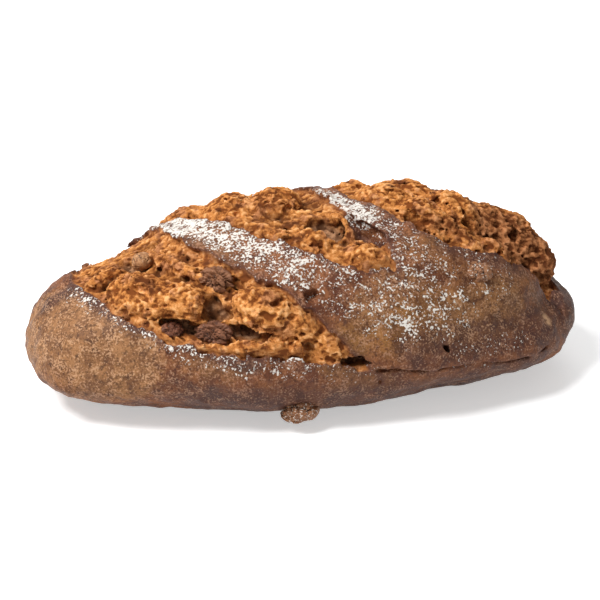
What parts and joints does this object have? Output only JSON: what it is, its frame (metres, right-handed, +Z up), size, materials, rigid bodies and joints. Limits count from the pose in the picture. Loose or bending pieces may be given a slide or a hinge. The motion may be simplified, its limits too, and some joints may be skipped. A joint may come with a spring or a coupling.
{
  "type": "rye bread loaf",
  "caption": "Long oval rye hearth loaf with deep diagonal slashes, rough crumb swelling through them, a flour-dusted crust and walnut pieces set in it.",
  "frame": {"origin": "middle of the loaf's bounding box, on the flat base", "axes": "+X along the loaf towards its fuller end, +Y towards the back, away from the side where the left slash ends, +Z up"},
  "size_m": [0.2864, 0.1416, 0.0994],
  "materials": {
    "crust": "matte",
    "walnut": "matte"
  },
  "bodies": {
    "root": {"loaf": "crust", "walnut_in_arch": "walnut", "walnut_curled": "walnut", "walnut_left": "walnut", "walnut_middle": "walnut", "walnut_shoulder": "walnut", "walnut_at_foot": "walnut"}
  },
  "joints": []
}
